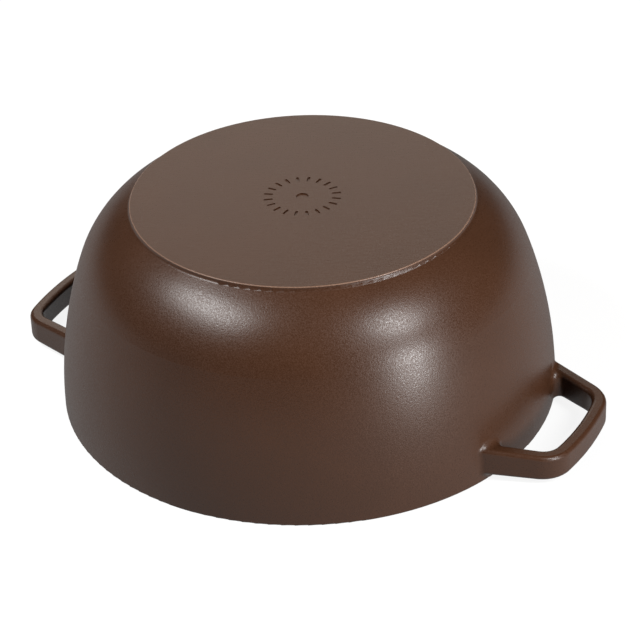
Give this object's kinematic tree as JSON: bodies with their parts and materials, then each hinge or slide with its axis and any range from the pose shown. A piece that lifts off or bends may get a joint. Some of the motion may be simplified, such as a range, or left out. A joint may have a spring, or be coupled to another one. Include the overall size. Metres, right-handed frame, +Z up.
{
  "type": "dutch oven",
  "caption": "Round enamelled cast-iron dutch oven resting upside down on its rim, with cast loop handles and a knobbed lid seated inside the rim.",
  "frame": {"origin": "centre of the pot's rim face, on the surface that the upside-down pot stands on", "axes": "+Z up through the centre of the base, +X through the middle of one handle"},
  "size_m": [0.3224, 0.26, 0.112],
  "materials": {
    "pot_enamel": "satin dark brown enamel, matte on the base",
    "lid_enamel": "satin dark brown enamel",
    "knob_steel": "turned and brushed",
    "fastener_steel": "satin"
  },
  "bodies": {
    "lid": {"lid": "lid_enamel", "lid_knob": "knob_steel", "knob_screw": "fastener_steel", "knob_washer": "fastener_steel"},
    "pot": {"pot": "pot_enamel"}
  },
  "joints": [
    {"name": "pot_lift", "type": "slide", "parent": "lid", "child": "pot", "axis": [0, 0, 1], "range_m": [0, 0.16]}
  ]
}
